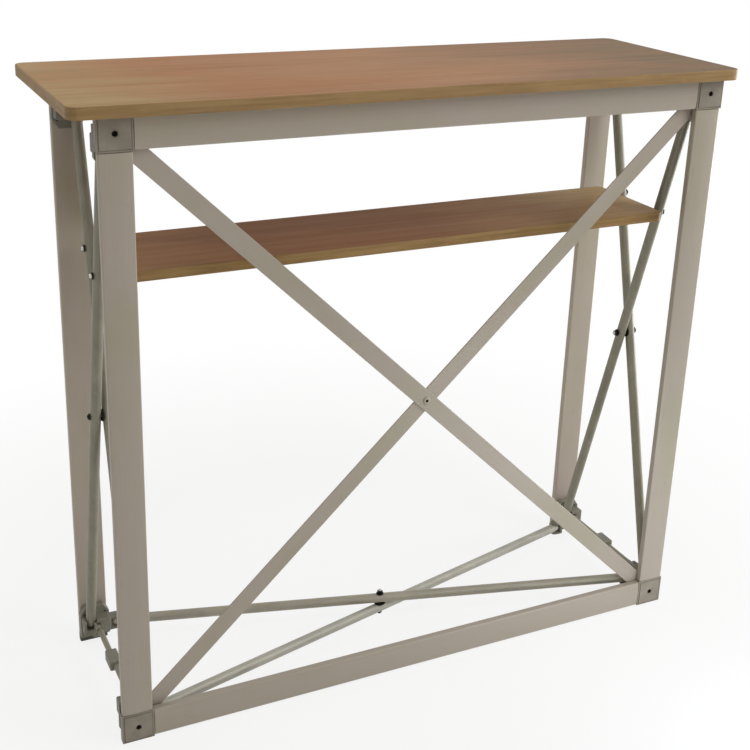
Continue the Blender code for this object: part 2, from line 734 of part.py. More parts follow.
for sx, side in SIDES:
    middle = Vector((FRAME_X + sx * HUB_X, 0, MID_Z))
    pivot("side_pivot_" + side, middle, X_AXIS * -sx, BOLT_HEAD_H)
    for kind, word in ((1, "rising"), (-1, "falling")):
        low, high = side_tube_ends(sx, kind)
        offset = X_AXIS * (kind * PAIR_OFF)
        spot = side_tube_at(sx, kind, SHELF_MID)
        drills = [drill(middle, X_AXIS), drill(spot, X_AXIS)]
        scissor_tube("side_tube_" + word + "_" + side, low, high, offset, drills)
        start = spot + X_AXIS * (sx * (TUBE_R + GAP))
        tail = abs(start.x - FRAME_X) - SHELF_HALF + NOTCH_L / 2
        head = -WASHER_T - BOLT_HEAD_H
        profile = [(head, 0.0), (head, BOLT_HEAD_R * 0.5), (head + BOLT_HEAD_H / 2, BOLT_HEAD_R * 0.9),
                   (-WASHER_T, BOLT_HEAD_R), (-WASHER_T, SHELF_WASHER_R), (0.0, SHELF_WASHER_R),
                   (0.0, BOLT_R), (tail, BOLT_R), (tail, 0.0)]
        make("shelf_bolt_" + word + "_" + side, turned(profile, start, X_AXIS * -sx, SMALL), "steel")

middle = Vector((FRAME_X, 0, BASE_Z))
pivot("base_pivot", middle, Z_AXIS, BASE_HEAD_H)
for kind, word in ((1, "lower"), (-1, "upper")):
    start = hub_centre(-1, -kind, -1) + Vector((BASE_PIN, 0, -BASE_DROP))
    stop = hub_centre(1, kind, -1) - Vector((BASE_PIN, 0, BASE_DROP))
    scissor_tube("base_tube_" + word, start, stop, Z_AXIS * (-kind * PAIR_OFF), [drill(middle, Z_AXIS)])

# Rear legs: flat bars from floor to top on plugged shoes, screwed to the rear hubs
leg_section = [(u, -v) for u, v in reversed(section)]
leg_bore = [(u, -v) for u, v in reversed(bore)]
for sx, side in SIDES:
    x = FRAME_X + sx * HUB_X
    cuts = []
    for sz, level in LEVELS:
        z = corner_z(sz)
        cuts.append(rod((x, REAR_Y - BAR_T - OVERRUN, z), (x, REAR_Y + OVERRUN, z), SCREW_R + GAP, TINY))
        seat = REAR_Y + GAP
        tail = seat - HUB_Y - SCREW_SHORT / 2
        profile = [(-DOME_H, 0.0), (-DOME_H, SCREW_HEAD_R * 0.55), (-DOME_H * 0.6, SCREW_HEAD_R * 0.9),
                   (0.0, SCREW_HEAD_R), (0.0, SCREW_R), (tail, SCREW_R), (tail, 0.0)]
        make("leg_screw_" + level + "_" + side, turned(profile, (x, seat, z), -Y_AXIS, SMALL), "steel")
    sole = shifted(rounded(BAR_W, BAR_T, BAR_ROUND, 2), x, REAR_Y - BAR_T / 2)
    plug_top = (x + PLUG_HALF, -plug_back, SHOE_T + SHOE_PLUG)
    plug = block((x - PLUG_HALF, -plug_front, SHOE_T / 2), plug_top, EASE)
    hole = rod((x, REAR_Y - BAR_T, CORNER_LOW), (x, REAR_Y, CORNER_LOW), SCREW_R + GAP, TINY)
    make("rear_leg_shoe_" + side, prism(sole, 0.0, SHOE_T, "z"), "block_plastic", [plug], [hole])
    leg = sleeve(shifted(leg_section, x, REAR_Y), shifted(leg_bore, x, REAR_Y), SHOE_T + GAP, FRAME_H, "z")
    make("rear_leg_" + side, leg, "bar_satin", cuts=cuts)

# Lock arms: a front arm with a saddle hook drops over the toe of a rear arm
z = LOCK_Z
for sx, side in SIDES:
    x = FRAME_X + sx * HUB_X
    socket_end = HOOK_SOCKET - HOOK_L / 2
    for sy, end in ENDS:
        pin = Vector((x, sy * ARM_PIN_Y, z))
        half = X_AXIS * (EYE_T / 2)
        eye = rod(pin - half, pin + half, EYE_R, SMALL)
        hole = rod(pin - 2 * half, pin + 2 * half, PIN_R + GAP, TINY)
        cheek = EYE_T / 2 - GAP
        neck_y = pin.y - sy * NECK_L
        neck = block((x - cheek, pin.y, z - NECK_H), (x + cheek, neck_y, z + NECK_H))
        tip_y = socket_end if sy < 0 else -TOE_L / 2
        start_y = neck_y + sy * NECK_LAP
        run = abs(tip_y - start_y)
        profile = [(0.0, 0.0), (0.0, ROD_R), (run - EASE, ROD_R), (run, ROD_R - EASE), (run, 0.0)]
        shank = turned(profile, (x, start_y, z), Y_AXIS * -sy, SMALL)
        make("lock_arm_" + end + "_" + side, eye, "tube_silver", [neck, shank], [hole], pin)
    shell_low = (x - HOOK_W / 2, -HOOK_L / 2, z - HOOK_H / 2)
    shell = block(shell_low, (x + HOOK_W / 2, HOOK_L / 2, z + HOOK_H / 2), HOOK_EASE)
    socket = rod((x, -HOOK_L, z), (x, socket_end + GAP, z), ROD_R + GAP, SMALL)
    slot = ROD_R + HOOK_CHEEK
    saddle = block((x - slot, -TOE_L / 2 - TOE_ROOM, z - HOOK_H), (x + slot, HOOK_L, z + ROD_R + HOOK_ROOF))
    make("lock_hook_" + side, shell, "hub_plastic", cuts=[socket, saddle], origin=(x, -ARM_PIN_Y, z))
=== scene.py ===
import math
from collections import namedtuple

import bmesh
import bpy
from mathutils import Matrix, Vector


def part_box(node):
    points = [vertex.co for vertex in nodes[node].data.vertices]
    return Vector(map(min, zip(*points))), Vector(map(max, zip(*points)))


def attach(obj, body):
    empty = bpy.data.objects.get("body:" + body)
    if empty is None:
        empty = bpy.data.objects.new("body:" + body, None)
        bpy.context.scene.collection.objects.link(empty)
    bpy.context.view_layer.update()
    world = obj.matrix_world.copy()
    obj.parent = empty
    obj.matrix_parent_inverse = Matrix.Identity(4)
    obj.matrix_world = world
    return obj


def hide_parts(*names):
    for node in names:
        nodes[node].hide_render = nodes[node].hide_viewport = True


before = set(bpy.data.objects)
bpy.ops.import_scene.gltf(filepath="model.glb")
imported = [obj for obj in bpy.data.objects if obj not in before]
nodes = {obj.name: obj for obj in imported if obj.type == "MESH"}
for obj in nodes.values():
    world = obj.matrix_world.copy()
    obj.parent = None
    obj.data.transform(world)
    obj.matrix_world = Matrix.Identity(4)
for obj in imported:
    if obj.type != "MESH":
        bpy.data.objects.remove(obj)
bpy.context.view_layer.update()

scene = bpy.context.scene
scene.view_settings.view_transform = "Standard"

X_AXIS = Vector((1, 0, 0))
Y_AXIS = Vector((0, 1, 0))
Z_AXIS = Vector((0, 0, 1))

# The camera stands at the counter's front left, a little above its top
PICTURE = 750
FOCAL_PX = 1240.39
CENTRE_PX = (361.6, 300.0)
CAMERA_AT = Vector((-0.8173, -1.6288, 1.2449))
YAW = 0.44768
PITCH = -0.34716
ROLL = 0.02947
SENSOR = 36.0
CLIP_START = 0.05


def make_camera():
    forward = Vector((math.sin(YAW) * math.cos(PITCH),
                      math.cos(YAW) * math.cos(PITCH),
                      math.sin(PITCH)))
    right = forward.cross(Z_AXIS).normalized()
    up = right.cross(forward)
    across = right * math.cos(ROLL) + up * math.sin(ROLL)
    upright = up * math.cos(ROLL) - right * math.sin(ROLL)
    data = bpy.data.cameras.new("camera")
    data.sensor_width = SENSOR
    data.lens = FOCAL_PX * SENSOR / PICTURE
    data.shift_x = (PICTURE / 2 - CENTRE_PX[0]) / PICTURE
    data.shift_y = (CENTRE_PX[1] - PICTURE / 2) / PICTURE
    data.clip_start = CLIP_START
    camera = bpy.data.objects.new("camera", data)
    turn = Matrix((across, upright, -forward)).transposed()
    camera.matrix_world = Matrix.Translation(CAMERA_AT) @ turn.to_4x4()
    scene.collection.objects.link(camera)
    scene.camera = camera


make_camera()


# Turns that lay a material's X along a piece's run
LEVEL = (0.0, 0.0, 0.0)
UP = (0.0, math.pi / 2, 0.0)

# A noise: its stretch along each axis (per metre), detail, roughness and distortion
Noise = namedtuple("Noise", "stretch detail rough distortion", defaults=(0.0,))

# Rubbed edges, painted lighter both as wear and as a painted highlight: how far normals bend there, and how
# the patches break them up
EDGE_BEND = ((0.985, 0.80), (0.0, 1.0))
EDGE_PATCHES = ((0.36, 0.60), (0.25, 0.85))
EDGE_SAMPLES = 4


class Shade:
    """A material's node tree, with short ways to add and join nodes."""

    def __init__(self, name):
        self.mat = bpy.data.materials.new(name)
        self.mat.use_nodes = True
        self.tree = self.mat.node_tree
        self.bsdf = self.tree.nodes["Principled BSDF"]
        self.coords = self.add("ShaderNodeTexCoord").outputs["Object"]

    def add(self, kind, **values):
        node = self.tree.nodes.new(kind)
        for key, value in values.items():
            setattr(node, key, value)
        return node

    def join(self, source, target):
        self.tree.links.new(source, target)

    def put(self, **values):
        for key, value in values.items():
            self.bsdf.inputs[key.replace("_", " ")].default_value = value

    def mapped(self, scale, turn, shift):
        """Object coordinates turned to the piece's own run, then stretched."""
        source = self.coords
        if any(turn):
            swing = self.add("ShaderNodeMapping")
            swing.inputs["Rotation"].default_value = turn
            self.join(source, swing.inputs["Vector"])
            source = swing.outputs["Vector"]
        node = self.add("ShaderNodeMapping")
        node.inputs["Scale"].default_value = scale
        node.inputs["Location"].default_value = shift
        self.join(source, node.inputs["Vector"])
        return node.outputs["Vector"]

    def noise(self, kind, shift, turn=LEVEL):
        node = self.add("ShaderNodeTexNoise")
        node.inputs["Scale"].default_value = 1.0
        node.inputs["Detail"].default_value = kind.detail
        node.inputs["Roughness"].default_value = kind.rough
        node.inputs["Distortion"].default_value = kind.distortion
        self.join(self.mapped(kind.stretch, turn, shift), node.inputs["Vector"])
        return node.outputs["Fac"]

    def ramp(self, fac, places, tones):
        node = self.add("ShaderNodeValToRGB")
        ramp = node.color_ramp
        while len(ramp.elements) < len(tones):
            ramp.elements.new(0.5)
        for element, place, tone in zip(ramp.elements, places, tones):
            element.position = place
            element.color = (*tone, 1.0)
        self.join(fac, node.inputs["Fac"])
        return node.outputs["Color"]

    def level(self, fac, span, result):
        """Takes a span of values to a span of results, and holds them at its ends."""
        node = self.add("ShaderNodeMapRange", clamp=True)
        node.inputs["From Min"].default_value = span[0]
        node.inputs["From Max"].default_value = span[1]
        node.inputs["To Min"].default_value = result[0]
        node.inputs["To Max"].default_value = result[1]
        self.join(fac, node.inputs["Value"])
        return node.outputs["Result"]

    def mix(self, fac, a, b, blend="MIX"):
        node = self.add("ShaderNodeMix", data_type="RGBA", blend_type=blend)
        for value, socket in ((fac, node.inputs[0]), (a, node.inputs[6]), (b, node.inputs[7])):
            if isinstance(value, (int, float)):
                socket.default_value = value
            elif isinstance(value, tuple):
                socket.default_value = (*value, 1.0)
            else:
                self.join(value, socket)
        return node.outputs[2]

    def math(self, operation, a, b):
        node = self.add("ShaderNodeMath", operation=operation)
        self.join(a, node.inputs[0])
        if isinstance(b, float):
            node.inputs[1].default_value = b
        else:
            self.join(b, node.inputs[1])
        return node.outputs[0]

    def along(self, axis, span):
        """The share of the way along a span of one axis of the object."""
        parts = self.add("ShaderNodeSeparateXYZ")
        self.join(self.coords, parts.inputs[0])
        return self.level(parts.outputs[axis], span, (0.0, 1.0))

    def sums(self, parts, weights):
        """Adds values, each with its own weight."""
        total = None
        for part, weight in zip(parts, weights):
            share = self.math("MULTIPLY", part, weight)
            total = share if total is None else self.math("ADD", total, share)
        return total

    def worn_and_highlit_edge(self, radius, patches):
        """A mask for rubbed edges, which are painted lighter both as wear and as a painted highlight: 0 on
        the faces, up to 1 on the edges, broken up by patches.
        """
        rounded = self.add("ShaderNodeBevel", samples=EDGE_SAMPLES)
        rounded.inputs["Radius"].default_value = radius
        plain = self.add("ShaderNodeNewGeometry")
        bend = self.add("ShaderNodeVectorMath", operation="DOT_PRODUCT")
        self.join(rounded.outputs["Normal"], bend.inputs[0])
        self.join(plain.outputs["Normal"], bend.inputs[1])
        edge = self.level(bend.outputs["Value"], *EDGE_BEND)
        return self.math("MULTIPLY", edge, self.level(patches, *EDGE_PATCHES))

    def bump(self, height, strength, distance):
        node = self.add("ShaderNodeBump")
        node.inputs["Strength"].default_value = strength
        node.inputs["Distance"].default_value = distance
        self.join(height, node.inputs["Height"])
        self.join(node.outputs["Normal"], self.bsdf.inputs["Normal"])

    def colour(self, socket):
        self.join(socket, self.bsdf.inputs["Base Color"])

    def roughness(self, socket):
        self.join(socket, self.bsdf.inputs["Roughness"])


def srgb(r, g, b):
    """A colour given as it shows on screen, from 0 to 255."""
    def linear(c):
        c = c / 255
        return c / 12.92 if c <= 0.04045 else ((c + 0.055) / 1.055) ** 2.4
    return linear(r), linear(g), linear(b)


def scaled(tone, share):
    return tuple(min(1.0, c * share) for c in tone)


def tinted(tone, tint):
    return tuple(min(1.0, c * t) for c, t in zip(tone, tint))


def shifted(seed, shares):
    """Where a material's noises start, so that no two of them show the same part."""
    return tuple(seed * share for share in shares)


# Every material takes its roughness from the middle of a noise's range
MIDDLE_SPAN = (0.3, 0.7)

# Wood-grain laminate: noises
FIGURE = Noise((1.1, 13.0, 13.0), 5.0, 0.55, 1.6)
FIBRE = Noise((7.0, 420.0, 420.0), 3.0, 0.6)
STREAK = Noise((2.2, 85.0, 85.0), 4.0, 0.55, 0.4)
CLOUD = Noise((3.0, 9.0, 9.0), 2.0, 0.5, 0.8)
PORES = Noise((26.0, 900.0, 900.0), 1.0, 0.4)
LAMINATE_SHIFT = (1.0, 0.7, 0.3)

# Wood-grain laminate: grain is drawn as shares of the board's own tone
GRAIN_DARK = (0.84, 0.81, 0.78)
GRAIN_MID = (0.97, 0.97, 0.96)
GRAIN_LIGHT = (1.08, 1.07, 1.05)
GRAIN_PLACES = (0.30, 0.46, 0.62, 0.78)
GRAIN_SHARE = 0.50
STREAK_TINT = (0.84, 0.80, 0.75)
STREAK_COVER = ((0.42, 0.68), (0.0, 0.48))
FIBRE_COVER = ((0.40, 0.72), (0.0, 0.8))
PORE_TINT = (0.62, 0.57, 0.52)
PORE_COVER = ((0.66, 0.74), (0.0, 0.75))
BOARD_DRIFT = ((0.25, 0.75), (-0.13, 0.13))
LAMINATE_ROUGH = (0.48, 0.62)
LAMINATE_ROUGH_WEIGHTS = (0.6, 0.4)
LAMINATE_RELIEF_WEIGHTS = (0.5, -0.8, 0.3)
LAMINATE_RELIEF = (0.12, 0.0004)
LAMINATE_GLOSS = 0.09


def laminate(name, tones, ends, seed):
    """Wood-grain laminate, its grain along X: board tones that change along X, which on the top and the
    shelf are painted light and reflection, plank figure, fine fibres and short pores.
    """
    s = Shade(name)
    shift = shifted(seed, LAMINATE_SHIFT)
    figure = s.noise(FIGURE, shift)
    fibre = s.noise(FIBRE, shift)
    streak = s.noise(STREAK, shift)
    cloud = s.noise(CLOUD, shift)
    pores = s.noise(PORES, shift)
    # Painted light: the tone drift along X lays lit and shaded stretches onto the boards, with a random
    # cloud of tone on top
    drift_and_painted_light = s.sums((s.along("X", ends), s.level(cloud, *BOARD_DRIFT)), (1.0, 1.0))
    step = 1.0 / (len(tones) - 1)
    board_and_painted_light = s.ramp(drift_and_painted_light, [i * step for i in range(len(tones))], tones)
    grain = s.ramp(figure, GRAIN_PLACES, (GRAIN_DARK, GRAIN_MID, GRAIN_LIGHT, GRAIN_MID))
    planked = s.mix(GRAIN_SHARE, board_and_painted_light, grain, "MULTIPLY")
    lined = s.mix(s.level(streak, *STREAK_COVER), planked, STREAK_TINT, "MULTIPLY")
    fine = s.mix(s.level(fibre, *FIBRE_COVER), lined, GRAIN_LIGHT, "MULTIPLY")
    s.colour(s.mix(s.level(pores, *PORE_COVER), fine, PORE_TINT, "MULTIPLY"))
    s.roughness(s.level(s.sums((streak, fibre), LAMINATE_ROUGH_WEIGHTS), MIDDLE_SPAN, LAMINATE_ROUGH))
    s.put(Specular_IOR_Level=LAMINATE_GLOSS)
    s.bump(s.sums((fibre, pores, streak), LAMINATE_RELIEF_WEIGHTS), *LAMINATE_RELIEF)
    return s.mat


# Edge band
BAND_GRAIN = Noise((9.0, 9.0, 240.0), 3.0, 0.6, 0.3)
BAND_RUB = Noise((26.0, 26.0, 60.0), 3.0, 0.6)
BAND_FINE = Noise((900.0, 900.0, 900.0), 2.0, 0.5)
BAND_SHIFT = (1.0, 1.0, 1.0)
BAND_PLACES = (0.32, 0.66)
BAND_RUB_COVER = ((0.52, 0.72), (0.0, 0.35))
BAND_RUB_TONE = 1.2
BAND_ROUGH = (0.46, 0.62)
BAND_RELIEF_WEIGHTS = (0.5, 0.5)
BAND_RELIEF = (0.10, 0.0003)
BAND_GLOSS = 0.22


def edge_band(name, tones, seed):
    """Plain edge band with a faint printed grain and a slightly rubbed face."""
    s = Shade(name)
    shift = shifted(seed, BAND_SHIFT)
    grain = s.noise(BAND_GRAIN, shift)
    rub = s.noise(BAND_RUB, shift)
    fine = s.noise(BAND_FINE, shift)
    base = s.ramp(grain, BAND_PLACES, tones)
    s.colour(s.mix(s.level(rub, *BAND_RUB_COVER), base, scaled(tones[-1], BAND_RUB_TONE)))
    s.roughness(s.level(rub, MIDDLE_SPAN, BAND_ROUGH))
    s.put(Specular_IOR_Level=BAND_GLOSS)
    s.bump(s.sums((grain, fine), BAND_RELIEF_WEIGHTS), *BAND_RELIEF)
    return s.mat


# Satin bars: the coat drifts between two casts
OLIVE = (0.95, 0.965, 0.91)
MAUVE = (1.04, 1.01, 1.05)
BAR_LINES = Noise((6.0, 900.0, 900.0), 3.0, 0.6)
BAR_CLOUD = Noise((5.0, 11.0, 11.0), 3.0, 0.55)
BAR_MARKS = Noise((34.0, 60.0, 60.0), 4.0, 0.65, 0.6)
BAR_SHIFT = (1.0, 0.4, 0.8)
BAR_PLACES = (0.36, 0.50, 0.64)
BAR_LINE_COVER = ((0.35, 0.68), (0.0, 0.22))
BAR_LINE_TONE = 0.84
BAR_MARK_COVER = ((0.62, 0.74), (0.0, 0.20))
BAR_MARK_TONE = 0.68
BAR_EDGE_R = 0.0012
BAR_EDGE_WEAR_AND_HIGHLIGHT_TONE = 1.32
BAR_ROUGH = (0.40, 0.54)
BAR_ROUGH_WEIGHTS = (0.6, 0.4)
BAR_RELIEF = (0.10, 0.0002)
BAR_METAL = 0.15
BAR_GLOSS = 0.36


def satin_bar(name, tone, turn, seed):
    """Satin finish on a flat bar: hair-fine lines along its run, slow mottling and faint handling marks."""
    s = Shade(name)
    shift = shifted(seed, BAR_SHIFT)
    lines = s.noise(BAR_LINES, shift, turn)
    cloud = s.noise(BAR_CLOUD, shift, turn)
    marks = s.noise(BAR_MARKS, shift, turn)
    base = s.ramp(cloud, BAR_PLACES, (tinted(tone, OLIVE), tone, tinted(tone, MAUVE)))
    lined = s.mix(s.level(lines, *BAR_LINE_COVER), base, scaled(tone, BAR_LINE_TONE))
    handled = s.mix(s.level(marks, *BAR_MARK_COVER), lined, scaled(tone, BAR_MARK_TONE))
    # Edges painted lighter: partly wear, partly a painted highlight
    s.colour(s.mix(s.worn_and_highlit_edge(BAR_EDGE_R, marks), handled, scaled(tone, BAR_EDGE_WEAR_AND_HIGHLIGHT_TONE)))
    s.roughness(s.level(s.sums((cloud, lines), BAR_ROUGH_WEIGHTS), MIDDLE_SPAN, BAR_ROUGH))
    s.put(Metallic=BAR_METAL, Specular_IOR_Level=BAR_GLOSS)
    s.bump(lines, *BAR_RELIEF)
    return s.mat


# Moulded plastic
PLASTIC_FINE = Noise((1500.0, 1500.0, 1500.0), 2.0, 0.5)
PLASTIC_CLOUD = Noise((40.0, 40.0, 40.0), 3.0, 0.5)
PLASTIC_SHIFT = (1.0, 0.6, 0.2)
PLASTIC_PLACES = (0.34, 0.66)
PLASTIC_DARK = 0.86
PLASTIC_LIGHT = 1.12
PLASTIC_SPECKLE = ((0.4, 0.7), (0.0, 0.22))
PLASTIC_EDGE_R = 0.0008
PLASTIC_EDGE_WEAR_AND_HIGHLIGHT_TONE = 1.40
PLASTIC_ROUGH = (0.46, 0.62)
PLASTIC_RELIEF = (0.16, 0.0003)
PLASTIC_GLOSS = 0.32
WASHER_GLOSS = 0.20
SOCKET_GLOSS = 0.02


def moulded(name, tone, seed, gloss=PLASTIC_GLOSS, rubbed_and_highlit=True):
    """Moulded plastic: fine spark-eroded grain with slow tone changes."""
    s = Shade(name)
    shift = shifted(seed, PLASTIC_SHIFT)
    fine = s.noise(PLASTIC_FINE, shift)
    cloud = s.noise(PLASTIC_CLOUD, shift)
    light = scaled(tone, PLASTIC_LIGHT)
    base = s.ramp(cloud, PLASTIC_PLACES, (scaled(tone, PLASTIC_DARK), light))
    colour = s.mix(s.level(fine, *PLASTIC_SPECKLE), base, light)
    # Edges painted lighter: partly wear, partly a painted highlight
    if rubbed_and_highlit:
        colour = s.mix(s.worn_and_highlit_edge(PLASTIC_EDGE_R, cloud), colour, scaled(tone, PLASTIC_EDGE_WEAR_AND_HIGHLIGHT_TONE))
    s.colour(colour)
    s.roughness(s.level(fine, MIDDLE_SPAN, PLASTIC_ROUGH))
    s.put(Specular_IOR_Level=gloss)
    s.bump(fine, *PLASTIC_RELIEF)
    return s.mat


# Drawn tubes
TUBE_STREAK = Noise((3.0, 700.0, 700.0), 3.0, 0.6)
TUBE_TARNISH = Noise((14.0, 50.0, 50.0), 4.0, 0.6, 0.4)
TUBE_SCRATCH = Noise((180.0, 420.0, 420.0), 2.0, 0.5, 1.2)
TUBE_SHIFT = (1.0, 0.3, 0.9)
TUBE_PLACES = (0.34, 0.52, 0.70)
TUBE_DARK = 0.84
TUBE_LIGHT = 1.14
TUBE_STREAK_COVER = ((0.38, 0.66), (0.0, 0.30))
TUBE_SCRATCH_COVER = ((0.66, 0.74), (0.0, 0.35))
TUBE_ROUGH = (0.42, 0.54)
TUBE_ROUGH_WEIGHTS = (0.5, 0.5)
TUBE_RELIEF_WEIGHTS = (0.6, 0.4)
TUBE_RELIEF = (0.08, 0.0002)
TUBE_METAL = 0.20
TUBE_GLOSS = 0.50


def drawn_tube(name, tone, turn, seed):
    """Drawn metal tube with a satin coat: streaks along its run, a little tarnish and fine scratches."""
    s = Shade(name)
    shift = shifted(seed, TUBE_SHIFT)
    streak = s.noise(TUBE_STREAK, shift, turn)
    tarnish = s.noise(TUBE_TARNISH, shift, turn)
    scratch = s.noise(TUBE_SCRATCH, shift, turn)
    dark = scaled(tone, TUBE_DARK)
    light = scaled(tone, TUBE_LIGHT)
    base = s.ramp(tarnish, TUBE_PLACES, (dark, tone, light))
    lined = s.mix(s.level(streak, *TUBE_STREAK_COVER), base, dark)
    s.colour(s.mix(s.level(scratch, *TUBE_SCRATCH_COVER), lined, light))
    s.roughness(s.level(s.sums((streak, tarnish), TUBE_ROUGH_WEIGHTS), MIDDLE_SPAN, TUBE_ROUGH))
    s.put(Metallic=TUBE_METAL, Specular_IOR_Level=TUBE_GLOSS)
    s.bump(s.sums((streak, scratch), TUBE_RELIEF_WEIGHTS), *TUBE_RELIEF)
    return s.mat


# Plated fastener metal
PLATE_FINE = Noise((1600.0, 1600.0, 1600.0), 2.0, 0.5)
PLATE_SPOT = Noise((260.0, 260.0, 260.0), 3.0, 0.6)
PLATE_SHIFT = (1.0, 1.0, 1.0)
PLATE_PLACES = (0.36, 0.60)
PLATE_DARK = 0.62
PLATE_LIGHT = 1.2
PLATE_SPECKLE = ((0.4, 0.7), (0.0, 0.25))
PLATE_RELIEF = (0.10, 0.0002)
PLATE_METAL = 0.95
BRIGHT_ROUGH = (0.22, 0.42)
DULL_ROUGH = (0.36, 0.52)
BLACK_ROUGH = (0.38, 0.54)


def plated(name, tone, seed, rough):
    """Plated fastener metal: a fine speckle and small dull spots."""
    s = Shade(name)
    shift = shifted(seed, PLATE_SHIFT)
    fine = s.noise(PLATE_FINE, shift)
    spot = s.noise(PLATE_SPOT, shift)
    base = s.ramp(spot, PLATE_PLACES, (scaled(tone, PLATE_DARK), tone))
    s.colour(s.mix(s.level(fine, *PLATE_SPECKLE), base, scaled(tone, PLATE_LIGHT)))
    s.roughness(s.level(spot, MIDDLE_SPAN, rough))
    s.put(Metallic=PLATE_METAL)
    s.bump(fine, *PLATE_RELIEF)
    return s.mat


# The runs of the crossed pieces, from the width, height and depth that each pair spans
CROSS_SPAN = (0.926, 0.886)
SIDE_SPAN = (0.841, 0.2214)
BASE_SPAN = (0.8625, 0.2214)
RISE = math.atan2(CROSS_SPAN[1], CROSS_SPAN[0])
SIDE_LEAN = math.atan2(SIDE_SPAN[1], SIDE_SPAN[0])
BASE_SWING = math.atan2(BASE_SPAN[1], BASE_SPAN[0])
BAR_RISING = (0.0, RISE, 0.0)
BAR_FALLING = (0.0, -RISE, 0.0)
TUBE_RISING = (math.pi / 2 - SIDE_LEAN, 0.0, math.pi / 2)
TUBE_FALLING = (math.pi / 2 + SIDE_LEAN, 0.0, math.pi / 2)
TUBE_LOWER = (0.0, 0.0, -BASE_SWING)
TUBE_UPPER = (0.0, 0.0, BASE_SWING)
INWARD = (0.0, 0.0, math.pi / 2)

# Tones
BAR_TONE = srgb(172, 163, 149)
# Painted light: the rear legs take a lighter copy of the bars' tone, as if lit more than the front frame
LEG_PAINTED_LIGHT_TONE = srgb(181, 171, 156)
BLOCK_TONE = srgb(145, 137, 124)
SHOE_TONE = srgb(92, 90, 80)
HUB_TONE = srgb(134, 131, 119)
WASHER_TONE = srgb(17, 17, 18)
# Painted shade: a near-black laid in screw recesses and in the rivet's eye
SOCKET_SHADE_TONE = srgb(26, 24, 21)
TUBE_TONE = srgb(142, 139, 121)
# Painted light: the base tubes take lighter copies of the side tubes' tone, the lower pair lightest, as if
# lit from above
LOWER_TUBE_PAINTED_LIGHT_TONE = srgb(182, 180, 168)
UPPER_TUBE_PAINTED_LIGHT_TONE = srgb(164, 159, 143)
STEEL_TONE = srgb(196, 192, 184)
DULL_STEEL_TONE = srgb(128, 125, 119)
BLACK_STEEL_TONE = srgb(30, 29, 28)
TOP_EDGE_TONES = (srgb(143, 114, 75), srgb(164, 134, 91))
SHELF_EDGE_TONES = (srgb(132, 102, 62), srgb(158, 128, 82))
BATTEN_TONES = (srgb(176, 142, 96), srgb(186, 152, 106))

# Painted light and reflection: the top's and the shelf's tone changes slowly from their left end to their
# right end, lighter and darker as light falls along them
TOP_TONES_AND_PAINTED_LIGHT = (srgb(176, 146, 102), srgb(170, 120, 80), srgb(174, 131, 96), srgb(154, 118, 88),
             srgb(130, 107, 80))
SHELF_TONES_AND_PAINTED_LIGHT = (srgb(176, 134, 92), srgb(152, 108, 71), srgb(150, 107, 72), srgb(166, 131, 93),
               srgb(202, 176, 134))
TOP_ENDS = (-0.51, 0.51)
SHELF_ENDS = (-0.43, 0.46)

materials = {
    "top_laminate": laminate("top_laminate_grain_and_painted_light", TOP_TONES_AND_PAINTED_LIGHT, TOP_ENDS, seed=3.1),
    "shelf_laminate": laminate("shelf_laminate_grain_and_painted_light", SHELF_TONES_AND_PAINTED_LIGHT, SHELF_ENDS, seed=8.7),
    "batten": laminate("batten_grain", BATTEN_TONES, TOP_ENDS, seed=12.0),
    "top_edge": edge_band("top_edge_grain", TOP_EDGE_TONES, seed=1.7),
    "shelf_edge": edge_band("shelf_edge_grain", SHELF_EDGE_TONES, seed=5.3),
    "bar_up": satin_bar("bar_satin_upright", BAR_TONE, UP, seed=2.0),
    "bar_leg_painted_light": satin_bar("bar_satin_leg_painted_light", LEG_PAINTED_LIGHT_TONE, UP, seed=3.0),
    "bar_level": satin_bar("bar_satin_rail", BAR_TONE, LEVEL, seed=4.0),
    "bar_rising": satin_bar("bar_satin_rising", BAR_TONE, BAR_RISING, seed=6.0),
    "bar_falling": satin_bar("bar_satin_falling", BAR_TONE, BAR_FALLING, seed=9.0),
    "block": moulded("block_grain", BLOCK_TONE, seed=2.5),
    "shoe": moulded("shoe_grain", SHOE_TONE, seed=3.5),
    "hub": moulded("hub_grain", HUB_TONE, seed=7.5),
    "washer": moulded("washer_grain", WASHER_TONE, seed=1.5, gloss=WASHER_GLOSS),
    "socket": moulded("socket_shade", SOCKET_SHADE_TONE, seed=6.5, gloss=SOCKET_GLOSS, rubbed_and_highlit=False),
    "tube_rising": drawn_tube("tube_drawn_rising", TUBE_TONE, TUBE_RISING, seed=3.0),
    "tube_falling": drawn_tube("tube_drawn_falling", TUBE_TONE, TUBE_FALLING, seed=5.0),
    "tube_lower": drawn_tube("tube_drawn_lower_painted_light", LOWER_TUBE_PAINTED_LIGHT_TONE, TUBE_LOWER, seed=7.0),
    "tube_upper": drawn_tube("tube_drawn_upper_painted_light", UPPER_TUBE_PAINTED_LIGHT_TONE, TUBE_UPPER, seed=11.0),
    "arm": drawn_tube("arm_drawn", TUBE_TONE, INWARD, seed=13.0),
    "steel": plated("steel_plated", STEEL_TONE, seed=4.5, rough=BRIGHT_ROUGH),
    "dull_steel": plated("steel_dull", DULL_STEEL_TONE, seed=14.5, rough=DULL_ROUGH),
    "black_steel": plated("steel_blackened", BLACK_STEEL_TONE, seed=9.5, rough=BLACK_ROUGH),
}

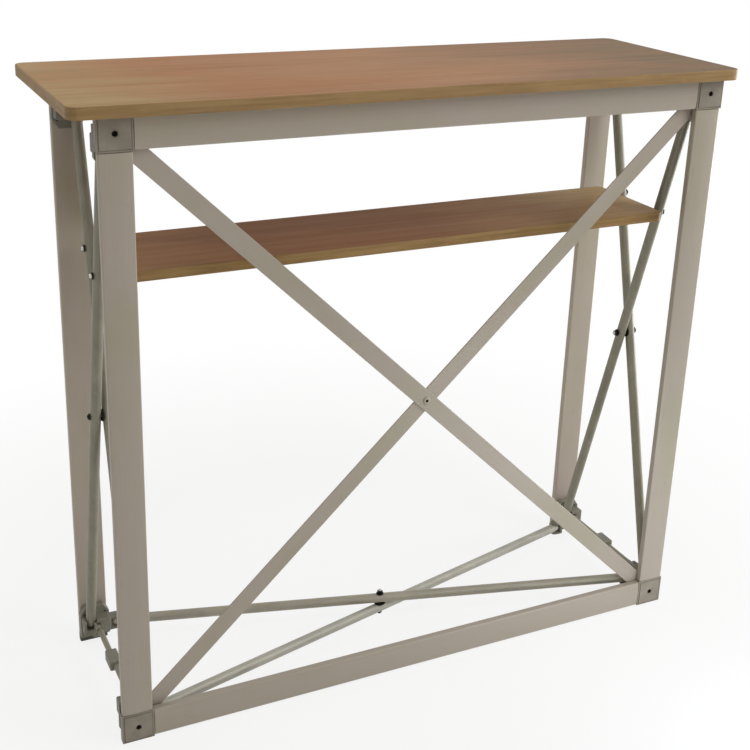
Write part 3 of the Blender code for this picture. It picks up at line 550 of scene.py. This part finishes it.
# The first line that a node's name starts with gives its material
MATERIAL_OF = (
    ("table_top_panel", "top_laminate"),
    ("table_top_edge_band", "top_edge"),
    ("top_batten", "batten"),
    ("shelf_panel", "shelf_laminate"),
    ("shelf_edge_band", "shelf_edge"),
    ("front_upright", "bar_up"),
    ("front_rail", "bar_level"),
    ("corner_block", "block"),
    ("cross_bar_front", "bar_falling"),
    ("cross_bar_rear", "bar_rising"),
    ("rear_leg_shoe", "shoe"),
    ("rear_leg", "bar_leg_painted_light"),
    ("hub", "hub"),
    ("lock_hook", "hub"),
    ("lock_arm", "arm"),
    ("side_tube_rising", "tube_rising"),
    ("side_tube_falling", "tube_falling"),
    ("base_tube_lower", "tube_lower"),
    ("base_tube_upper", "tube_upper"),
    ("side_pivot_left_washer", "washer"),
    ("side_pivot_right_washer", "washer"),
    ("base_pivot_washer", "washer"),
)


def material_of(node):
    for start, material in MATERIAL_OF:
        if node.startswith(start):
            return materials[material]
    return materials["steel"]


for name, obj in nodes.items():
    obj.data.materials.clear()
    obj.data.materials.append(material_of(name))


# Fasteners: turned and hexagonal forms along one axis, in several finishes
STEPS = 24
SHARP = math.radians(32.0)
ANGLES = [2 * math.pi * i / STEPS for i in range(STEPS)]
HEX_TURN = math.pi / 3

EASE = 0.0003
BOLT_R = 0.0030
THREAD = 0.00035
THREAD_PITCH = 0.0005
WASHER_T = 0.0015
NUT_FLAT = 0.0040
NUT_H = 0.0048
NUT_CROWN = 0.96
NUT_SLOPE = 0.55
TAIL = 0.0020
PAIR_FACE = 0.01735
RECESS_SHARE = 0.38
RECESS_TAPER = 0.92
RECESS_DEPTH = 0.5

# Shares of a domed head's height and radius, from its crown down to its seat
DOME = ((0.0, 0.55), (0.22, 0.78), (0.48, 0.93), (0.78, 1.0), (1.0, 1.0))


def hex_reach(angle, flat):
    """From a hexagon's middle to its edge; flat is half its width across flats."""
    return flat / math.cos((angle + HEX_TURN / 2) % HEX_TURN - HEX_TURN / 2)


def circle(height, radius):
    return [(radius * math.cos(a), radius * math.sin(a), height) for a in ANGLES]


def hexagon(height, flat):
    reach = [hex_reach(a, flat) for a in ANGLES]
    return [(r * math.cos(a), r * math.sin(a), height) for a, r in zip(ANGLES, reach)]


def chamfered(height, flat):
    """A hexagon whose corners drop away from its top, as a turned nut's do."""
    drops = [height - (hex_reach(a, flat) - flat * NUT_CROWN) * NUT_SLOPE for a in ANGLES]
    return [(x, y, drop) for (x, y, _), drop in zip(hexagon(height, flat), drops)]


def washer(low, radius):
    high = low + WASHER_T
    return [circle(low, radius - EASE), circle(low + EASE, radius),
            circle(high - EASE, radius), circle(high, radius - EASE)]


def thread(low, high):
    """Rounds of a screw thread, with a chamfered end."""
    rings = []
    for i in range(int((high - low) / THREAD_PITCH)):
        rings.append(circle(low + i * THREAD_PITCH, BOLT_R - THREAD))
        rings.append(circle(low + (i + 0.5) * THREAD_PITCH, BOLT_R))
    return rings + [circle(high, BOLT_R - 2 * THREAD)]


def domed_head(finish, crown, height, radius):
    """A low domed head with a hexagon recess, from the recess down to the seat."""
    flat = radius * RECESS_SHARE
    floor = hexagon(crown + height * RECESS_DEPTH, flat * RECESS_TAPER)
    return [("socket", [floor, hexagon(crown, flat)]),
            (finish, [circle(crown + height * down, radius * share) for down, share in DOME])]


def turned_mesh(name, bands):
    """One closed mesh along Z. A band is a finish, and the rings that it runs over in turn."""
    finishes = list(dict.fromkeys(finish for finish, _ in bands))
    bm = bmesh.new()
    last = None
    for finish, rings in bands:
        for ring in rings:
            loop = [bm.verts.new(point) for point in ring]
            if last is None:
                made = [bm.faces.new(loop)]
            else:
                made = [bm.faces.new((last[i - 1], last[i], loop[i], loop[i - 1]))
                        for i in range(STEPS)]
            for face in made:
                face.material_index = finishes.index(finish)
            last = loop
    bm.faces.new(last).material_index = len(finishes) - 1
    for face in bm.faces:
        face.smooth = True
    bmesh.ops.recalc_face_normals(bm, faces=bm.faces)
    mesh = bpy.data.meshes.new(name)
    bm.to_mesh(mesh)
    bm.free()
    for finish in finishes:
        mesh.materials.append(materials[finish])
    return mesh


def fastener(node, bands, place, axis):
    """Sets a fastener on the frame, its Z along the axis, in the place of its solid."""
    mesh = turned_mesh(node + "_hardware", bands)
    turn = Z_AXIS.rotation_difference(axis).to_matrix().to_4x4()
    mesh.transform(Matrix.Translation(place) @ turn)
    mesh.set_sharp_from_angle(angle=SHARP)
    piece = bpy.data.objects.new(mesh.name, mesh)
    scene.collection.objects.link(piece)
    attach(piece, "frame")
    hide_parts(node)


def start_of(node, axis):
    """The middle of the box's face that the axis leads in from, and the box's length along it."""
    low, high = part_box(node)
    length = abs((high - low).dot(axis))
    return (low + high) / 2 - axis * (length / 2), length


# Pivots of the crossed tubes: head, washer, bolt through both tubes, washer, nut and thread.
# A head is its height and radius, and the washers are the head's and the nut's
SIDE_HEAD = (0.0022, 0.0040)
SIDE_WASHERS = (0.0052, 0.0060)
BASE_HEAD = (0.0026, 0.0036)
BASE_WASHERS = (0.0046, 0.0062)


def pivot(name, axis, head, washers):
    low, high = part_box(name + "_washer")
    seat = PAIR_FACE + WASHER_T
    nut_top = seat + NUT_H
    bands = domed_head("black_steel", -seat - head[0], *head)
    bands += [("washer", washer(-seat, washers[0])),
              ("steel", [circle(-PAIR_FACE, BOLT_R), circle(PAIR_FACE, BOLT_R)]),
              ("washer", washer(PAIR_FACE, washers[1])),
              ("black_steel", [hexagon(seat, NUT_FLAT), chamfered(nut_top, NUT_FLAT),
                               circle(nut_top, NUT_FLAT * NUT_CROWN), circle(nut_top, BOLT_R)]),
              ("steel", thread(nut_top, nut_top + TAIL))]
    fastener(name + "_bolt", bands, (low + high) / 2, axis)


pivot("side_pivot_left", X_AXIS, SIDE_HEAD, SIDE_WASHERS)
pivot("side_pivot_right", -X_AXIS, SIDE_HEAD, SIDE_WASHERS)
pivot("base_pivot", Z_AXIS, BASE_HEAD, BASE_WASHERS)

# Bolts that carry the shelf: a domed head on a black washer
SHELF_SEAT = 0.0042
SHELF_HEAD_H = 0.0036
SHELF_HEAD_R = 0.0035
SHELF_WASHER_R = 0.0052


def shelf_bolt(node, axis):
    place, length = start_of(node, axis)
    bands = domed_head("steel", SHELF_SEAT - SHELF_HEAD_H, SHELF_HEAD_H, SHELF_HEAD_R)
    bands += [("washer", washer(SHELF_SEAT, SHELF_WASHER_R)),
              ("dull_steel", [circle(SHELF_SEAT + WASHER_T, BOLT_R), circle(length - EASE, BOLT_R),
                              circle(length, BOLT_R - EASE)])]
    fastener(node, bands, place, axis)


for side, inward in (("left", X_AXIS), ("right", -X_AXIS)):
    for lean in ("rising", "falling"):
        shelf_bolt("shelf_bolt_" + lean + "_" + side, inward)

# Corner screws have a painted head with a wide socket; leg screws have a domed steel head
SCREW_R = 0.0024
SCREW_HEAD_R = 0.0046
SCREW_HEAD_H = 0.0028
SCREW_RIM = 0.0010
SCREW_POINT = 0.0008
SCREW_FLAT = 0.0036
SCREW_SOCKET = 0.0022
SCREW_TAPER = 0.6
LEG_HEAD_H = 0.0022


def screw_end(length):
    return [circle(length - SCREW_POINT, SCREW_R), circle(length, SCREW_R - SCREW_POINT)]


def corner_screw(node):
    place, length = start_of(node, Y_AXIS)
    socket = [hexagon(SCREW_SOCKET, SCREW_FLAT * SCREW_TAPER), hexagon(0.0, SCREW_FLAT)]
    head = [circle(0.0, SCREW_HEAD_R - EASE), circle(EASE, SCREW_HEAD_R),
            circle(SCREW_RIM, SCREW_HEAD_R), circle(SCREW_HEAD_H, SCREW_R)]
    fastener(node, [("socket", socket), ("block", head + screw_end(length))], place, Y_AXIS)


def leg_screw(node):
    place, length = start_of(node, -Y_AXIS)
    bands = domed_head("dull_steel", 0.0, LEG_HEAD_H, SCREW_HEAD_R)
    bands += [("dull_steel", [circle(LEG_HEAD_H, SCREW_R)] + screw_end(length))]
    fastener(node, bands, place, -Y_AXIS)


for level in ("bottom", "top"):
    for side in ("left", "right"):
        corner_screw("corner_screw_" + level + "_" + side)
        leg_screw("leg_screw_" + level + "_" + side)

# Hollow rivet where the cross bars meet: a painted flange round an open eye
RIVET_R = 0.0030
RIVET_FLANGE = 0.0016
RIVET_LIP = RIVET_FLANGE / 3
RIVET_EYE_R = 0.0022
RIVET_EYE_H = 0.0034

# Shares of the rivet flange's height and radius, from its lip out to its edge
RIVET_FRONT = ((0.0, 0.46), (0.0, 0.60), (0.30, 0.84), (0.70, 0.97), (1.0, 1.0))
RIVET_BACK = ((1.0, 1.0), (0.5, 0.95), (0.0, 0.72))


def cross_rivet(node):
    low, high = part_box(node)
    place, length = start_of(node, Y_AXIS)
    radius = (high.x - low.x) / 2
    eye = [circle(RIVET_EYE_H, RIVET_EYE_R), circle(RIVET_LIP, RIVET_EYE_R)]
    front = [circle(RIVET_FLANGE * down, radius * share) for down, share in RIVET_FRONT]
    shank = [circle(RIVET_FLANGE, RIVET_R), circle(length - RIVET_FLANGE, RIVET_R)]
    back = [circle(length - RIVET_FLANGE * up, radius * share) for up, share in RIVET_BACK]
    fastener(node, [("socket", eye), ("bar_falling", front + shank + back)], place, Y_AXIS)


cross_rivet("cross_rivet")


# Floor, light and background
FLOOR_HALF = 9.0
FLOOR_CELLS = 24
FLOOR_SINK = 0.0004
FLOOR_TONE = (0.88, 0.88, 0.88, 1.0)
FLOOR_ROUGH = 0.9
FLOOR_GLOSS = 0.1
FLOOR_FADE = ((0.60, 1.3), (0.82, 1.0))
WORLD_TONE = (1.0, 0.97, 0.92, 1.0)
WORLD_STRENGTH = 0.40
WHITE = (1.0, 1.0, 1.0, 1.0)


def seen_rays(tree):
    """1 for the rays that see the white background, and 0 for those that light the counter."""
    path = tree.nodes.new("ShaderNodeLightPath")
    seen = path.outputs["Is Camera Ray"]
    for ray in ("Is Glossy Ray", "Is Transmission Ray"):
        node = tree.nodes.new("ShaderNodeMath")
        node.operation = "MAXIMUM"
        tree.links.new(seen, node.inputs[0])
        tree.links.new(path.outputs[ray], node.inputs[1])
        seen = node.outputs[0]
    return seen


def blend_shaders(tree, fac, plain, white, output):
    blend = tree.nodes.new("ShaderNodeMixShader")
    tree.links.new(fac, blend.inputs["Fac"])
    tree.links.new(plain.outputs[0], blend.inputs[1])
    tree.links.new(white.outputs[0], blend.inputs[2])
    tree.links.new(blend.outputs[0], tree.nodes[output].inputs["Surface"])


def floor_white():
    """White floor that keeps the shadow near the counter and fades into the background."""
    s = Shade("floor_white")
    s.put(Base_Color=FLOOR_TONE, Roughness=FLOOR_ROUGH, Specular_IOR_Level=FLOOR_GLOSS)
    away = s.add("ShaderNodeVectorMath", operation="LENGTH")
    s.join(s.coords, away.inputs[0])
    far = s.level(away.outputs["Value"], *FLOOR_FADE)
    glow = s.add("ShaderNodeEmission")
    shown = s.math("MULTIPLY", far, seen_rays(s.tree))
    blend_shaders(s.tree, shown, s.bsdf, glow, "Material Output")
    return s.mat


def make_floor():
    bm = bmesh.new()
    bmesh.ops.create_grid(bm, x_segments=FLOOR_CELLS, y_segments=FLOOR_CELLS, size=FLOOR_HALF)
    mesh = bpy.data.meshes.new("floor")
    bm.to_mesh(mesh)
    bm.free()
    mesh.materials.append(floor_white())
    floor = bpy.data.objects.new("floor", mesh)
    floor.location.z = -FLOOR_SINK
    scene.collection.objects.link(floor)


def make_world():
    world = bpy.data.worlds.new("studio")
    scene.world = world
    world.use_nodes = True
    tree = world.node_tree
    plain = tree.nodes["Background"]
    plain.inputs["Color"].default_value = WORLD_TONE
    plain.inputs["Strength"].default_value = WORLD_STRENGTH
    white = tree.nodes.new("ShaderNodeBackground")
    white.inputs["Color"].default_value = WHITE
    blend_shaders(tree, seen_rays(tree), plain, white, "World Output")


# Soft disc lamps: place, aim, size, power and colour
Lamp = namedtuple("Lamp", "place aim size power colour")
MIDDLE = (0.0, 0.0, 0.5)
LAMPS = {
    "key": Lamp((1.35, -1.5, 2.1), MIDDLE, 1.5, 20.5, (0.985, 0.99, 1.0)),
    "low": Lamp((0.46, -0.62, 0.16), (0.32, -0.14, 0.04), 0.3, 0.85, (0.86, 0.96, 1.0)),
    "side": Lamp((2.3, -0.12, 0.4), MIDDLE, 0.7, 22.0, (0.985, 0.99, 1.0)),
    "overhead": Lamp((-0.9, 0.5, 2.6), MIDDLE, 1.6, 8.0, (1.0, 0.98, 0.95)),
}


def area_light(name, lamp):
    data = bpy.data.lights.new(name, "AREA")
    data.shape = "DISK"
    data.size = lamp.size
    data.energy = lamp.power
    data.color = lamp.colour
    light = bpy.data.objects.new(name, data)
    light.location = lamp.place
    light.rotation_mode = "QUATERNION"
    light.rotation_quaternion = (Vector(lamp.aim) - Vector(lamp.place)).to_track_quat("-Z", "Y")
    scene.collection.objects.link(light)


make_floor()
make_world()
for name, lamp in LAMPS.items():
    area_light(name, lamp)
